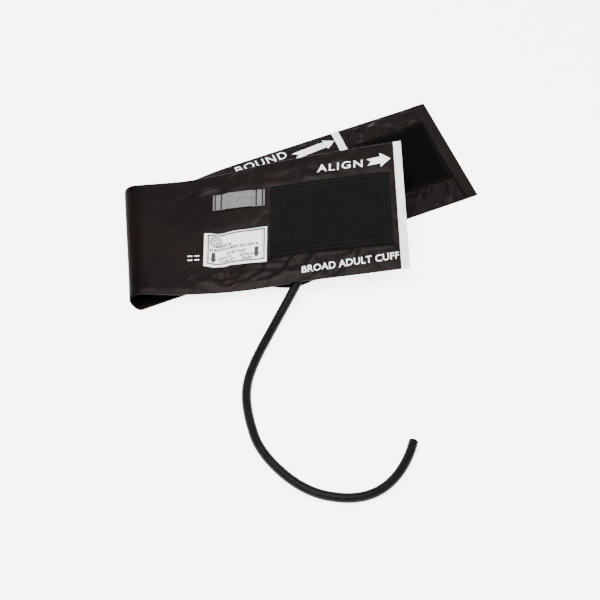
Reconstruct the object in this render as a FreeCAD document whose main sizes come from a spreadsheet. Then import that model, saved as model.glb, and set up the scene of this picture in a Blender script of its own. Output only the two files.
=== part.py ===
import FreeCAD
import Part
import Sketcher
import math
import os

# A large-adult blood pressure cuff, folded once: the tail lies flat, the bladder
# panel lies over it, and the two meet in a loose loop of cloth (the fold).
# Millimetres. +X runs from the fold along the panel, +Y across the cuff away from
# the hose, +Z up. The origin is under the middle of the cloth's box, on the table.

DOC = FreeCAD.newDocument("blood_pressure_cuff")
SHEET = DOC.addObject("Spreadsheet::Sheet", "sizes")

DRIVING = {
    "centre_x": 195.0,        # fold's outer side to the origin
    "centre_y": 129.5,        # panel's near edge to the origin
    "cuff_width": 150.0,
    "cloth": 1.0,             # one layer of coated nylon
    "layer_gap": 0.1,         # between stacked layers of one body
    "joint_gap": 0.3,         # between bodies that move
    "fold_height": 24.0,      # outer height of the loop
    "thread": 0.5,            # height and width of a line of stitching
    # panel, measured from the fold's outer side
    "panel_length": 302.5,
    "panel_skew": 8.0,        # far corner of the index end beyond the near one
    "panel_depth": 7.0,       # outer cloth to lining, over the bladder
    "seam_depth": 2.1,        # outer cloth to lining, where they are sewn together
    "slope_length": 22.0,     # over which the depth grows at each end
    "seam_width": 6.0,
    "bladder_start": 38.0,
    "bladder_end": 278.0,
    "bladder_margin": 8.0,
    "bladder_wall": 1.0,
    "port_start": 170.0,
    "port_length": 12.0,
    "port_near": 9.0,
    "port_far": 19.0,
    "neck_start": 153.0,
    "neck_end": 201.0,
    "neck_reach": 4.0,        # in front of the panel's near edge
    "neck_inset": 12.0,
    "neck_depth": 8.8,
    "hose_diameter": 9.0,
    "hose_bore": 4.5,
    "hose_end_length": 12.0,  # the open, straight end
    "loop_start": 155.0,
    "loop_end": 287.0,
    "loop_near": 36.0,
    "loop_far": 121.0,
    "pile": 2.0,              # height of the loop and hook patches
    "stitch_inset": 3.0,
    "label_start": 82.0,
    "label_end": 151.0,
    "label_near": 34.0,
    "label_far": 76.0,
    "label_sheet": 0.4,
    "strap_start": 95.0,
    "strap_end": 152.0,
    "strap_near": 104.0,
    "strap_far": 124.0,
    "strap_sheet": 1.2,
    "strap_rise": 3.0,        # gap under the middle, for the gauge's clip
    "strap_foot": 11.0,       # length sewn down at each end
    "index_width": 9.5,
    # tail, in its own lengthwise and crosswise directions
    "tail_angle": 18.2,
    "tail_x": 12.0,
    "tail_y": -2.0,
    "tail_near": -3.0,
    "tail_length": 397.0,     # along its near edge
    "tail_skew": 7.5,         # far corner beyond the near one
    "hem_width": 13.0,
    "hook_start": 296.0,
    "hook_end": 385.0,
    "hook_near": 33.0,
    "hook_far": 116.0,
    "range_start": 285.5,
    "range_width": 9.0,
    "tape_sheet": 0.3,
}

# Height of the panel's outer face along its near and far edges: the near edge
# droops with the hose, and the far edge and the free end stand up.
PANEL_LINES = [
    # distance from the fold's outer side, near edge, far edge
    (12.0, 24.0, 24.0),
    (60.0, 17.0, 24.5),
    (105.0, 15.0, 30.5),
    (140.0, 17.0, 39.5),
    (195.0, 26.0, 48.0),
    (250.0, 31.0, 56.0),
    (302.5, 36.0, 62.0),
]

# The hose's route from inside the neck, down to the table and round to its open end.
HOSE_ROUTE = [
    (180.5, 2.2, 12.2),
    (160.0, -33.0, 5.4),
    (137.5, -69.0, 4.6),
    (118.0, -105.0, 4.6),
    (113.5, -143.0, 4.6),
    (118.0, -181.0, 4.6),
    (137.0, -216.0, 4.6),
    (168.0, -243.0, 4.6),
    (207.0, -254.0, 4.6),
    (245.0, -243.0, 4.6),
    (268.0, -215.0, 4.6),
    (276.5, -194.0, 4.6),
]


def fill_sheet():
    """Put each driving dimension in a row, with its name as the alias."""
    for row, (name, value) in enumerate(DRIVING.items(), start=1):
        SHEET.set(f"A{row}", name)
        SHEET.set(f"B{row}", str(value))
        SHEET.setAlias(f"B{row}", name)
    DOC.recompute()


def size(name):
    """A driving dimension's value, read from the sheet."""
    return float(SHEET.get(name))


# ---------------------------------------------------------------- sketched bodies

def origin_plane(body, role):
    for feature in body.Origin.OriginFeatures:
        if feature.Role == role:
            return feature
    raise RuntimeError(f"no plane {role}")


def attached_sketch(body, name, role):
    sketch = body.newObject("Sketcher::SketchObject", name)
    sketch.AttachmentSupport = [(origin_plane(body, role), "")]
    sketch.MapMode = "FlatFace"
    return sketch


def bind_point(sketch, geometry, end, x_text, y_text):
    """Drive one end of a line or arc from the sketch's origin."""
    for kind, text in (("DistanceX", x_text), ("DistanceY", y_text)):
        number = sketch.addConstraint(Sketcher.Constraint(kind, -1, 1, geometry, end, 1.0))
        sketch.setExpression(f"Constraints[{number}]", text)


def polygon(sketch, corners):
    """A closed outline whose corners are pairs of expressions."""
    count = len(corners)
    start = sketch.GeometryCount
    turn = 2.0 * math.pi / count
    rough = [FreeCAD.Vector(math.cos(turn * k), math.sin(turn * k), 0) for k in range(count)]
    for k in range(count):
        sketch.addGeometry(Part.LineSegment(rough[k], rough[(k + 1) % count]), False)
    for k in range(count):
        following = start + (k + 1) % count
        sketch.addConstraint(Sketcher.Constraint("Coincident", start + k, 2, following, 1))
    for k, (x_text, y_text) in enumerate(corners):
        bind_point(sketch, start + k, 1, x_text, y_text)


def pad(body, sketch, length_text):
    feature = body.newObject("PartDesign::Pad", f"{body.Name}_pad_{sketch.Name}")
    feature.Profile = sketch
    feature.setExpression("Length", length_text)
    sketch.Visibility = False
    return feature


def tail_body(label, outline, bottom_text, height_text, hole=None):
    """A flat piece of the tail: outline in the tail's own two directions."""
    body = DOC.addObject("PartDesign::Body", label)
    body.Label = label
    sketch = attached_sketch(body, f"{label}_outline", "XY_Plane")
    polygon(sketch, outline)
    if hole:
        polygon(sketch, hole)
    pad(body, sketch, height_text)
    body.Placement.Rotation = FreeCAD.Rotation(FreeCAD.Vector(0, 0, 1), size("tail_angle"))
    body.setExpression("Placement.Base.x", "sizes.tail_x - sizes.centre_x")
    body.setExpression("Placement.Base.y", "sizes.tail_y - sizes.centre_y")
    body.setExpression("Placement.Base.z", bottom_text)
    body.setExpression("Placement.Rotation.Angle", "sizes.tail_angle")
    return body


def rectangle(x0, x1, y0, y1):
    return [(x0, y0), (x1, y0), (x1, y1), (x0, y1)]


def tail_strip(inset, from_text=None):
    """The tail's outline, cut along the fold at one end and skewed at the other."""
    near = f"(sizes.tail_near + {inset})"
    far = f"(sizes.tail_near + sizes.cuff_width - {inset})"
    lean = "tan(sizes.tail_angle)"
    gap = "sizes.joint_gap / cos(sizes.tail_angle)"
    start = [f"{gap} + {near} * {lean}", f"{gap} + {far} * {lean}"]
    if from_text:
        start = [from_text, f"{from_text} + sizes.tail_skew"]
    return [
        (start[0], near),
        ("sizes.tail_length", near),
        ("sizes.tail_length + sizes.tail_skew", far),
        (start[1], far),
    ]


def stitch_frame(x0, x1, y0, y1, inset):
    """Outer and inner outlines of a line of stitching inside a rectangle."""
    outer = rectangle(f"{x0} + {inset}", f"{x1} - {inset}", f"{y0} + {inset}", f"{y1} - {inset}")
    inner_inset = f"({inset} + sizes.thread)"
    inner = rectangle(
        f"{x0} + {inner_inset}", f"{x1} - {inner_inset}",
        f"{y0} + {inner_inset}", f"{y1} - {inner_inset}",
    )
    return outer, inner


def make_tail():
    lining_base = "sizes.cloth + sizes.layer_gap"
    top = "2 * (sizes.cloth + sizes.layer_gap)"
    tail_body("tail_outer_fabric", tail_strip("0"), "0", "sizes.cloth")
    tail_body("tail_lining", tail_strip("0"), lining_base, "sizes.cloth")

    hem = "(sizes.tail_length - sizes.hem_width)"
    tail_body("tail_hem", tail_strip("0", hem), top, "sizes.cloth")
    seam = [
        (f"{hem} + 2", "sizes.tail_near + 2"),
        (f"{hem} + 2 + sizes.thread", "sizes.tail_near + 2"),
        (f"{hem} + 2 + sizes.thread + sizes.tail_skew", "sizes.tail_near + sizes.cuff_width - 2"),
        (f"{hem} + 2 + sizes.tail_skew", "sizes.tail_near + sizes.cuff_width - 2"),
    ]
    tail_body("hem_stitching", seam, f"{top} + sizes.cloth + sizes.layer_gap", "sizes.thread")

    hook = ("sizes.hook_start", "sizes.hook_end", "sizes.hook_near", "sizes.hook_far")
    tail_body("hook_patch", rectangle(*hook), top, "sizes.pile")
    outer, inner = stitch_frame(*hook, "sizes.stitch_inset")
    stitch_base = f"{top} + sizes.pile + sizes.layer_gap"
    tail_body("hook_patch_stitching", outer, stitch_base, "sizes.thread", inner)

    band = rectangle(
        "sizes.range_start", "sizes.range_start + sizes.range_width",
        "sizes.tail_near + 3", "sizes.tail_near + sizes.cuff_width - 3",
    )
    tail_body("range_tape", band, top, "sizes.tape_sheet")


def half_ring(label, outer_text, inner_text):
    """Half a tube of cloth, open towards +X, along the whole fold."""
    body = DOC.addObject("PartDesign::Body", label)
    body.Label = label
    sketch = attached_sketch(body, f"{label}_section", "XZ_Plane")
    centre = FreeCAD.Vector(0, 0, 0)
    axis = FreeCAD.Vector(0, 0, 1)
    quarter = math.pi / 2
    for radius in (2.0, 1.0):
        circle = Part.Circle(centre, axis, radius)
        sketch.addGeometry(Part.ArcOfCircle(circle, quarter, 3 * quarter), False)
    sketch.addGeometry(Part.LineSegment(FreeCAD.Vector(0, 2, 0), FreeCAD.Vector(0, 1, 0)), False)
    sketch.addGeometry(Part.LineSegment(FreeCAD.Vector(0, -1, 0), FreeCAD.Vector(0, -2, 0)), False)
    for kind, first, first_end, second, second_end in (
        ("Coincident", 0, 3, -1, 1),
        ("Coincident", 1, 3, -1, 1),
        ("Coincident", 0, 1, 2, 1),
        ("Coincident", 1, 1, 2, 2),
        ("Coincident", 1, 2, 3, 1),
        ("Coincident", 0, 2, 3, 2),
    ):
        sketch.addConstraint(Sketcher.Constraint(kind, first, first_end, second, second_end))
    for end in (0, 1):
        sketch.addConstraint(Sketcher.Constraint("PointOnObject", 0, end + 1, -2))
        sketch.addConstraint(Sketcher.Constraint("PointOnObject", 1, end + 1, -2))
    for geometry, text in ((0, outer_text), (1, inner_text)):
        number = sketch.addConstraint(Sketcher.Constraint("Radius", geometry, 2.0 - geometry))
        sketch.setExpression(f"Constraints[{number}]", text)
    feature = pad(body, sketch, "sizes.cuff_width")
    feature.Reversed = True
    body.setExpression("Placement.Base.x", "sizes.fold_height / 2 - sizes.centre_x")
    body.setExpression("Placement.Base.y", "-sizes.centre_y")
    body.setExpression("Placement.Base.z", "sizes.fold_height / 2")
    return body


def make_fold():
    half_ring("fold_outer_fabric", "sizes.fold_height / 2", "sizes.fold_height / 2 - sizes.cloth")
    half_ring(
        "fold_lining",
        "sizes.fold_height / 2 - sizes.cloth - sizes.layer_gap",
        "sizes.fold_height / 2 - 2 * sizes.cloth - sizes.layer_gap",
    )


# ---------------------------------------------------------------- warped panel

def between(distance, column):
    """The panel lines' height at a distance from the fold, in straight runs."""
    for before, after in zip(PANEL_LINES, PANEL_LINES[1:]):
        if distance <= after[0]:
            share = (distance - before[0]) / (after[0] - before[0])
            return before[column] + share * (after[column] - before[column])
    return PANEL_LINES[-1][column]


def panel_point(distance, across, lift):
    """A point of the panel's outer face, lifted straight up."""
    share = across / size("cuff_width")
    start = size("fold_height") / 2
    along = (distance - start) / (size("panel_length") - start)
    x = distance + size("panel_skew") * (share - 0.5) * along
    z = (1 - share) * between(distance, 1) + share * between(distance, 2)
    return FreeCAD.Vector(x, across, z + lift)


def depth_at(distance):
    """Outer face to lining's underside: thin at the two sewn ends."""
    start = size("fold_height") / 2
    edge = min(distance - start, size("panel_length") - distance)
    share = min(1.0, max(0.0, edge / size("slope_length")))
    return size("seam_depth") + share * (size("panel_depth") - size("seam_depth"))


def slab(start, end, near, far, low, high, more_stations=()):
    """A solid between two heights over the panel's outer face.

    low and high are numbers, or functions of the distance from the fold.
    """
    start_line = size("fold_height") / 2
    slope = size("slope_length")
    knots = [line[0] for line in PANEL_LINES]
    knots += [start_line + slope, size("panel_length") - slope]
    knots += list(more_stations)
    stations = [start] + sorted(k for k in set(knots) if start < k < end) + [end]
    sections = []
    for distance in stations:
        bottom = low(distance) if callable(low) else low
        top = high(distance) if callable(high) else high
        corners = [
            panel_point(distance, near, bottom),
            panel_point(distance, far, bottom),
            panel_point(distance, far, top),
            panel_point(distance, near, top),
        ]
        sections.append(Part.makePolygon(corners + corners[:1]))
    return Part.makeLoft(sections, True, True)


def panel_piece(label, shape):
    piece = DOC.addObject("Part::Feature", label)
    piece.Label = label
    piece.Shape = shape
    piece.Placement.Base = FreeCAD.Vector(-size("centre_x"), -size("centre_y"), 0)
    return piece


def frame_slab(start, end, near, far, low, high):
    """A line of stitching round a rectangle of the panel."""
    line = size("thread")
    outer = slab(start, end, near, far, low, high)
    inner = slab(start + line, end - line, near + line, far - line, low - 1, high + 1)
    return outer.cut(inner)


def bladder_half(outer_low, outer_high, inner_low, inner_high):
    """One sheet of the bladder, with its half of the rim."""
    margin = size("bladder_margin")
    wall = size("bladder_wall")
    start = size("bladder_start")
    end = size("bladder_end")
    far = size("cuff_width") - margin
    outside = slab(start, end, margin, far, outer_low, outer_high)
    inside = slab(start + wall, end - wall, margin + wall, far - wall, inner_low, inner_high)
    return outside.cut(inside)


def make_panel_cloth():
    start = size("fold_height") / 2 + size("joint_gap")
    end = size("panel_length")
    width = size("cuff_width")
    cloth = size("cloth")
    gap = size("layer_gap")
    panel_piece("panel_outer_fabric", slab(start, end, 0, width, -cloth, 0))

    lining = slab(start, end, 0, width, lambda d: -depth_at(d), lambda d: cloth - depth_at(d))
    port_start = size("port_start") - gap
    port_end = size("port_start") + size("port_length") + gap
    slot = slab(
        port_start, port_end, size("port_near") - gap, size("port_far") + gap,
        -size("panel_depth") - 1, cloth + 1 - size("panel_depth"),
    )
    panel_piece("panel_lining", lining.cut(slot))

    seam_start = start + size("slope_length")
    seam_end = end - size("slope_length")
    fill_low = cloth + gap - size("panel_depth")
    fill_high = -cloth - gap
    seam = size("seam_width")
    panel_piece("panel_near_seam", slab(seam_start, seam_end, 0.5, seam, fill_low, fill_high))
    panel_piece(
        "panel_far_seam",
        slab(seam_start, seam_end, width - seam, width - 0.5, fill_low, fill_high),
    )


def make_bladder():
    cloth = size("cloth")
    gap = size("layer_gap")
    wall = size("bladder_wall")
    top = -cloth - gap
    bottom = cloth + gap - size("panel_depth")
    weld = (top + bottom) / 2
    panel_piece("bladder_upper_sheet", bladder_half(weld, top, weld - 1, top - wall))
    panel_piece("bladder_lower_sheet", bladder_half(bottom, weld, bottom + wall, weld + 1))

    port_start = size("port_start")
    port_end = port_start + size("port_length")
    underside = -size("panel_depth")
    port = slab(port_start, port_end, size("port_near"), size("port_far"), underside, bottom)
    panel_piece("bladder_port", port)

    neck = slab(
        size("neck_start"), size("neck_end"), -size("neck_reach"), size("neck_inset"),
        underside - size("neck_depth"), underside - gap,
    )
    panel_piece("bladder_neck", neck)


def make_panel_trim():
    gap = size("layer_gap")
    thread = size("thread")
    inset = size("stitch_inset")
    pile_top = gap + size("pile")
    loop = (size("loop_start"), size("loop_end"), size("loop_near"), size("loop_far"))
    panel_piece("loop_patch", slab(*loop, gap, pile_top))
    stitched = (loop[0] + inset, loop[1] - inset, loop[2] + inset, loop[3] - inset)
    stitching = frame_slab(*stitched, pile_top + gap, pile_top + gap + thread)
    panel_piece("loop_patch_stitching", stitching)

    label = (size("label_start"), size("label_end"), size("label_near"), size("label_far"))
    label_top = gap + size("label_sheet")
    panel_piece("instruction_label", slab(*label, gap, label_top))
    stitched = (label[0] + inset, label[1] - inset, label[2] + inset, label[3] - inset)
    stitching = frame_slab(*stitched, label_top + gap, label_top + gap + thread)
    panel_piece("label_stitching", stitching)

    end = size("panel_length")
    index_start = end - size("index_width")
    width = size("cuff_width")
    tape_top = gap + size("tape_sheet")
    panel_piece("index_tape", slab(index_start, end, 0.5, width - 0.5, gap, tape_top))
    seam_start = index_start + 1.0
    stitching = slab(seam_start, seam_start + thread, 3, width - 3, tape_top + gap, tape_top + gap + thread)
    panel_piece("index_tape_stitching", stitching)


def make_gauge_strap():
    gap = size("layer_gap")
    foot = size("strap_foot")
    ramp = 4.0
    start = size("strap_start")
    end = size("strap_end")

    def underside(distance):
        edge = min(distance - start, end - distance)
        share = min(1.0, max(0.0, (edge - foot) / ramp))
        return gap + share * size("strap_rise")

    bends = (start + foot, start + foot + ramp, end - foot - ramp, end - foot)
    strap = slab(
        start, end, size("strap_near"), size("strap_far"),
        underside, lambda d: underside(d) + size("strap_sheet"), bends,
    )
    panel_piece("gauge_strap", strap)

    bar_base = gap + size("strap_sheet") + gap
    bars = []
    for offset in (2.0, 9.0):
        for bar_start in (start + offset, end - offset - 1.0):
            bars.append(slab(
                bar_start, bar_start + 1.0, size("strap_near") + 0.5, size("strap_far") - 0.5,
                bar_base, bar_base + size("thread"),
            ))
    panel_piece("strap_bar_tacks", Part.makeCompound(bars))


# ---------------------------------------------------------------- hose

def turn_at(before, corner, after):
    return (corner - before).getAngle(after - corner)


def hose_wire(points):
    """Straight runs joined by tangent arcs, each as large as its runs allow."""
    edges = []
    position = points[0]
    for before, corner, after in zip(points, points[1:], points[2:]):
        turn = turn_at(before, corner, after)
        shorter = min((corner - before).Length, (after - corner).Length)
        back = 0.45 * shorter
        radius = back / math.tan(turn / 2)
        arrive = (before - corner).normalize()
        leave = (after - corner).normalize()
        arc_start = corner + arrive * back
        arc_end = corner + leave * back
        inward = (arrive + leave).normalize()
        to_centre = radius / math.cos(turn / 2)
        arc_middle = corner + inward * (to_centre - radius)
        edges.append(Part.LineSegment(position, arc_start).toShape())
        edges.append(Part.Arc(arc_start, arc_middle, arc_end).toShape())
        print(f"hose bend: turn {math.degrees(turn):.1f} deg, radius {radius:.1f} mm")
        position = arc_end
    edges.append(Part.LineSegment(position, points[-1]).toShape())
    return Part.Wire(edges)


def make_hose():
    points = [FreeCAD.Vector(*point) for point in HOSE_ROUTE]
    radius = size("hose_diameter") / 2
    path = hose_wire(points)
    first_run = points[1] - points[0]
    section = Part.Wire([Part.makeCircle(radius, points[0], first_run)])
    tube = path.makePipeShell([section], True, True)
    expected = math.pi * radius ** 2 * path.Length
    print(f"hose length {path.Length:.1f} mm, volume {tube.Volume:.0f} of {expected:.0f} mm3")

    # the neck's front face closes the hose's inner end
    reach = size("neck_reach")
    behind = Part.makeBox(80, 40, 60, FreeCAD.Vector(points[0].x - 40, -reach, -20))
    tube = tube.cut(behind)
    inward = (points[-2] - points[-1]).normalize()
    end_length = size("hose_end_length")
    open_end = Part.makeCylinder(2 * radius, end_length + 1, points[-1] - inward, inward)
    panel_piece("air_hose", tube.cut(open_end))
    make_hose_end(points[-1], inward)


def make_hose_end(tip, inward):
    """The hose's open end: a straight tube on the table, pointing inward along the hose."""
    outside = DOC.addObject("Part::Cylinder", "hose_end_outside")
    outside.setExpression("Radius", "sizes.hose_diameter / 2")
    outside.setExpression("Height", "sizes.hose_end_length")
    bore = DOC.addObject("Part::Cylinder", "hose_end_bore")
    bore.setExpression("Radius", "sizes.hose_bore / 2")
    bore.setExpression("Height", "sizes.hose_end_length + 2")
    bore.Placement.Base = FreeCAD.Vector(0, 0, -1)
    piece = DOC.addObject("Part::Cut", "air_hose_end")
    piece.Label = "air_hose_end"
    piece.Base = outside
    piece.Tool = bore
    place = tip - FreeCAD.Vector(size("centre_x"), size("centre_y"), 0)
    turn = FreeCAD.Rotation(FreeCAD.Vector(0, 0, 1), inward)
    piece.Placement = FreeCAD.Placement(place, turn)
    print("hose tip", [round(value, 3) for value in place], "inward", [round(v, 6) for v in inward])


# ---------------------------------------------------------------- export

def sub_parts():
    kinds = ("PartDesign::Body", "Part::Feature", "Part::Cut")
    return [item for item in DOC.Objects if item.TypeId in kinds]


def check_and_export():
    for item in DOC.Objects:
        if "Invalid" in item.State or "Error" in item.State:
            raise RuntimeError(f"{item.Name} is {item.State}")
    for piece in sub_parts():
        shape = piece.Shape
        if shape.isNull() or not shape.isValid() or shape.Volume <= 0:
            raise RuntimeError(f"{piece.Label} has no valid solid")
    os.makedirs("parts", exist_ok=True)
    for piece in sub_parts():
        piece.Shape.exportStep(f"parts/{piece.Label}.step")
        print(f"{piece.Label}: {len(piece.Shape.Solids)} solid(s), {piece.Shape.Volume:.0f} mm3")


fill_sheet()
make_tail()
make_fold()
make_panel_cloth()
make_bladder()
make_panel_trim()
make_gauge_strap()
make_hose()
DOC.recompute()
check_and_export()
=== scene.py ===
import math
from functools import cache

import bmesh
import bpy
import numpy as np
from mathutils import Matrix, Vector

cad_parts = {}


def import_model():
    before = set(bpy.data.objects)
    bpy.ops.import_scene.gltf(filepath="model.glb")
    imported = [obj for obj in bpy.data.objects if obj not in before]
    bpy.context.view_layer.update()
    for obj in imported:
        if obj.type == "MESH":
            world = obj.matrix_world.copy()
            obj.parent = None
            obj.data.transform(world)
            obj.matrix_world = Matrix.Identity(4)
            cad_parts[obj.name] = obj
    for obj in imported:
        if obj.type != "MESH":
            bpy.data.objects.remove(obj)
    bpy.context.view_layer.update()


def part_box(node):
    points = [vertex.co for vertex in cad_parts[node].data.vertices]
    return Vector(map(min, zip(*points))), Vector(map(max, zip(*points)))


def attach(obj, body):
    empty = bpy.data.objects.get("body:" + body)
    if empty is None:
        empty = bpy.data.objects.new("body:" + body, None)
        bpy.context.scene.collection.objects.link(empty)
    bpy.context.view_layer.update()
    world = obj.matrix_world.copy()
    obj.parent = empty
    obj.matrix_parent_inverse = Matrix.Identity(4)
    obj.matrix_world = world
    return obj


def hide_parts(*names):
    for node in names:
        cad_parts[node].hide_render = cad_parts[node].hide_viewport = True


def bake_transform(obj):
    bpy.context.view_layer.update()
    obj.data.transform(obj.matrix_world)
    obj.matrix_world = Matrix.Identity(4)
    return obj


# A large-adult blood pressure cuff, folded once on a table. Lengths are in
# millimetres from the corner of the fold; world() turns them into metres.

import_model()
fold_low, fold_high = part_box("fold_outer_fabric")

CORNER = np.array([fold_low[0], fold_low[1], 0.0])
WIDTH = (fold_high[1] - fold_low[1]) * 1000
RADIUS = fold_high[2] * 1000 / 2
QUARTER = math.pi / 2 * RADIUS
CLOTH = 2.1             # both layers of the tail together

# The panel's shape, as (distance from the fold, value) pairs.
PANEL_START = RADIUS
PANEL_END = 301.4
PANEL_LEAN = ((12, 0), (60, 12), (150, 14), (235, 12), (302.5, 8))   # far edge ahead of near
NEAR_HEIGHTS = ((12, 24), (60, 16.5), (105, 14.5), (140, 16.5), (195, 25.5), (250, 30), (302.5, 35))
FAR_HEIGHTS = ((12, 24), (60, 24.5), (105, 31.5), (140, 42), (195, 51), (250, 59), (302.5, 65))
FAR_SPREAD = 2.0        # the free end's far corner lies this much further out
SPINE_LEAN = 1.6        # the far end of the fold reaches this much further left
LEAN_FADE = 60.0        # the lean of the fold is gone this far into the panel and the tail

# The tail turns away from the panel about the near end of the fold.
TAIL_TURN = math.radians(18.2)
TAIL_FROM = np.array([12.0, -2.0])
TAIL_NEAR = -3.0        # its near edge, across its axis
TAIL_LENGTH = 399.5
TAIL_SKEW = 6.0         # its far edge is longer than its near one
TAIL_DIP, DIP_PLACE, DIP_WIDTH = 4.0, 62.0, 30.0   # the far edge draws in near the fold
HEM = 13.5
HEM_SPREAD = 3.0        # the hem is wider at the far side
HEM_RUN = (4.0, 3.0)    # before and after the hem's step the rows of points are close
HEM_ROW = 0.5

# Rectangles on the panel: from the fold, to, from the near edge, to.
LOOP_PATCH = (155.0, 287.0, 33.7, 119.0)
LABEL = (83.8, 152.4, 34.0, 75.5)
STRAP = (92.8, 149.8, 102.3, 122.3)
TILT = {LOOP_PATCH: -0.030, LABEL: -0.055, STRAP: -0.095}   # each slopes to the near edge
LABEL_SAG, SAG_PLACE, SAG_WIDTH = 2.6, 17.0, 10.0
MOUTH = (180.5, 29.0)   # the hose's opening in the near edge: its middle and half its width
MOUTH_DEPTH = 9.0
NECK_HALF_WIDTH = 23.0
INDEX_WIDTH = 8.4
INDEX_THICK = 0.42
BLADDER = (38.0, 278.0)
BLADDER_MARGIN = 8.0
BLADDER_SWELL = 4.9

# Rectangles on the tail: from the fold along it, to, from its axis across, to.
HOOK_PATCH = (296.0, 385.0, 30.6, 119.0)
HOOK_SKEW = 5.5         # its far corner reaches this much further out than its near one
RANGE_BAND = (285.5, 294.5)
RANGE_TILT = 0.05

# Lines of stitches, in from the edge of what they hold.
LOOP_SEAMS = (3.0, 7.6)
HOOK_SEAM = 2.5
LABEL_SEAM = 3.2
STRAP_TACKS = (2.5, 9.3)

HOSE_DIAMETER = 9.8
HOSE_BORE = 4.5
ON_TABLE = 4.95         # height of the hose's middle where it lies on the table
HOSE_ROUTE = [(180.6, 6.5, 18.8), (168.4, -12.2, 13.0), (151.8, -37.3, 5.1)] + [
    (x, y, ON_TABLE) for x, y in (
        (126.0, -84.0), (114.8, -115.0), (114.8, -149.0), (124.0, -193.0), (162.5, -239.0),
        (206.5, -253.3), (241.0, -245.8), (268.6, -216.0), (277.2, -192.7),
    )
]

# Creases: the region they lie in, their number, length, width, height, the way they lean
# and how much that differs, in degrees, and a seed.
PANEL_CREASES = (
    ((80, 250, 3, 32), 26, 28, 3.0, 1.2, 35, 34, 41),
    ((16, 80, 3, 36), 14, 22, 2.8, 0.6, 20, 35, 42),
    ((60, 300, 122, 147), 16, 34, 3.4, 0.8, 4, 22, 43),
    ((20, 150, 30, 140), 14, 55, 6.0, 0.4, 80, 32, 44),
)
LINING_CREASES = (((30, 290, 5, 145), 26, 36, 4.0, 0.6, 75, 35, 52),)
TAIL_CREASES = (
    ((285, 385, 2, 32), 24, 26, 3.2, 1.7, 55, 30, 62),
    ((285, 388, 116, 144), 18, 34, 3.4, 1.5, 20, 26, 63),
    ((60, 290, 100, 142), 10, 40, 4.0, 0.6, 12, 20, 64),
    ((40, 290, 0, 100), 10, 60, 5.0, 0.5, 60, 30, 65),
)

# Sizes of the mesh.
GRID = 1.6
COLUMN = 1.8
EDGE_ROUND = 1.4
END_ROUND = 1.2
FINE = (0.0, 0.2, 0.6, 1.2, 2.2)             # distances from an edge of the points close to it
CLOSING = np.array([1.2, 0.6, 0.25, 0.08, 0.0])   # the same at a rounded end, from inside out


# ---- small tools

def world(points):
    """Millimetres from the fold's corner to metres in the row frame."""
    return np.asarray(points, float) / 1000 + CORNER


def add_object(name, data):
    item = bpy.data.objects.new(name, data)
    bpy.context.scene.collection.objects.link(item)
    return item


# ---- camera

def make_camera():
    camera = add_object("camera", bpy.data.cameras.new("camera"))
    camera.location = world((95.2, -943.3, 1294.8))
    target = Vector(world((180.5, -6.4, 0.0)))
    camera.rotation_euler = (target - camera.location).to_track_quat("-Z", "Y").to_euler()
    camera.data.lens = 90.0
    camera.data.sensor_width = 36.0
    camera.data.clip_end = 20.0
    bpy.context.scene.camera = camera


make_camera()


# ---- shapes and meshes

def smooth(edge0, edge1, x):
    """0 before the first edge, 1 after the second, with an even turn between them."""
    t = np.clip((np.asarray(x, float) - edge0) / (edge1 - edge0), 0, 1)
    return t * t * (3 - 2 * t)


def bell(x, place, width):
    """1 at a place, and down to 0 on both sides of it."""
    return np.exp(-((x - place) / width) ** 2)


def grid(a, b):
    return np.meshgrid(a, b, indexing="ij")


def between(table, gx, gy):
    """Values of a table between its whole-numbered places, blended evenly."""
    rows, columns = table.shape
    ix, iy = np.floor(gx).astype(int), np.floor(gy).astype(int)
    fx, fy = gx - ix, gy - iy
    fx, fy = fx * fx * (3 - 2 * fx), fy * fy * (3 - 2 * fy)
    ix, next_x = ix % rows, (ix + 1) % rows
    iy, next_y = iy % columns, (iy + 1) % columns
    low = table[ix, iy] * (1 - fx) + table[next_x, iy] * fx
    high = table[ix, next_y] * (1 - fx) + table[next_x, next_y] * fx
    return low * (1 - fy) + high * fy


def value_noise(x, y, scale, seed):
    """Smooth noise from -1 to 1 over the plane, one random value per cell corner."""
    table = np.random.default_rng(seed).uniform(-1, 1, (256, 256))
    return between(table, np.asarray(x) / scale + 64.37, np.asarray(y) / scale + 64.71)


def creases(x, y, region, count, length, width, height, lean, spread, seed):
    """Soft folds of the cloth: short ridges with a hollow beside them."""
    rng = np.random.default_rng(seed)
    total = np.zeros(np.shape(x))
    for _ in range(count):
        cx = rng.uniform(region[0], region[1])
        cy = rng.uniform(region[2], region[3])
        angle = math.radians(lean + rng.normal(0, spread))
        half = 0.5 * length * rng.uniform(0.5, 1.4)
        wide = width * rng.uniform(0.6, 1.5)
        tall = height * rng.uniform(0.4, 1.3)
        bow = rng.uniform(-0.012, 0.012)
        u = (x - cx) * math.cos(angle) + (y - cy) * math.sin(angle)
        w = -(x - cx) * math.sin(angle) + (y - cy) * math.cos(angle) + bow * u * u
        ridge, hollow = bell(w, 0, wide), bell(w, 1.9 * wide, 1.4 * wide)
        total += tall * np.exp(-(u / half) ** 4) * (ridge - 0.6 * hollow)
    return total


def creased(x, y, kinds, swell):
    """A gentle swell of the cloth with each kind of crease added to it."""
    return sum((creases(x, y, *kind) for kind in kinds), swell)


def new_object(name, mesh, body=None, material=None):
    item = add_object(name, mesh)
    if material:
        mesh.materials.append(material)
    if body:
        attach(item, body)
    return item


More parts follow.
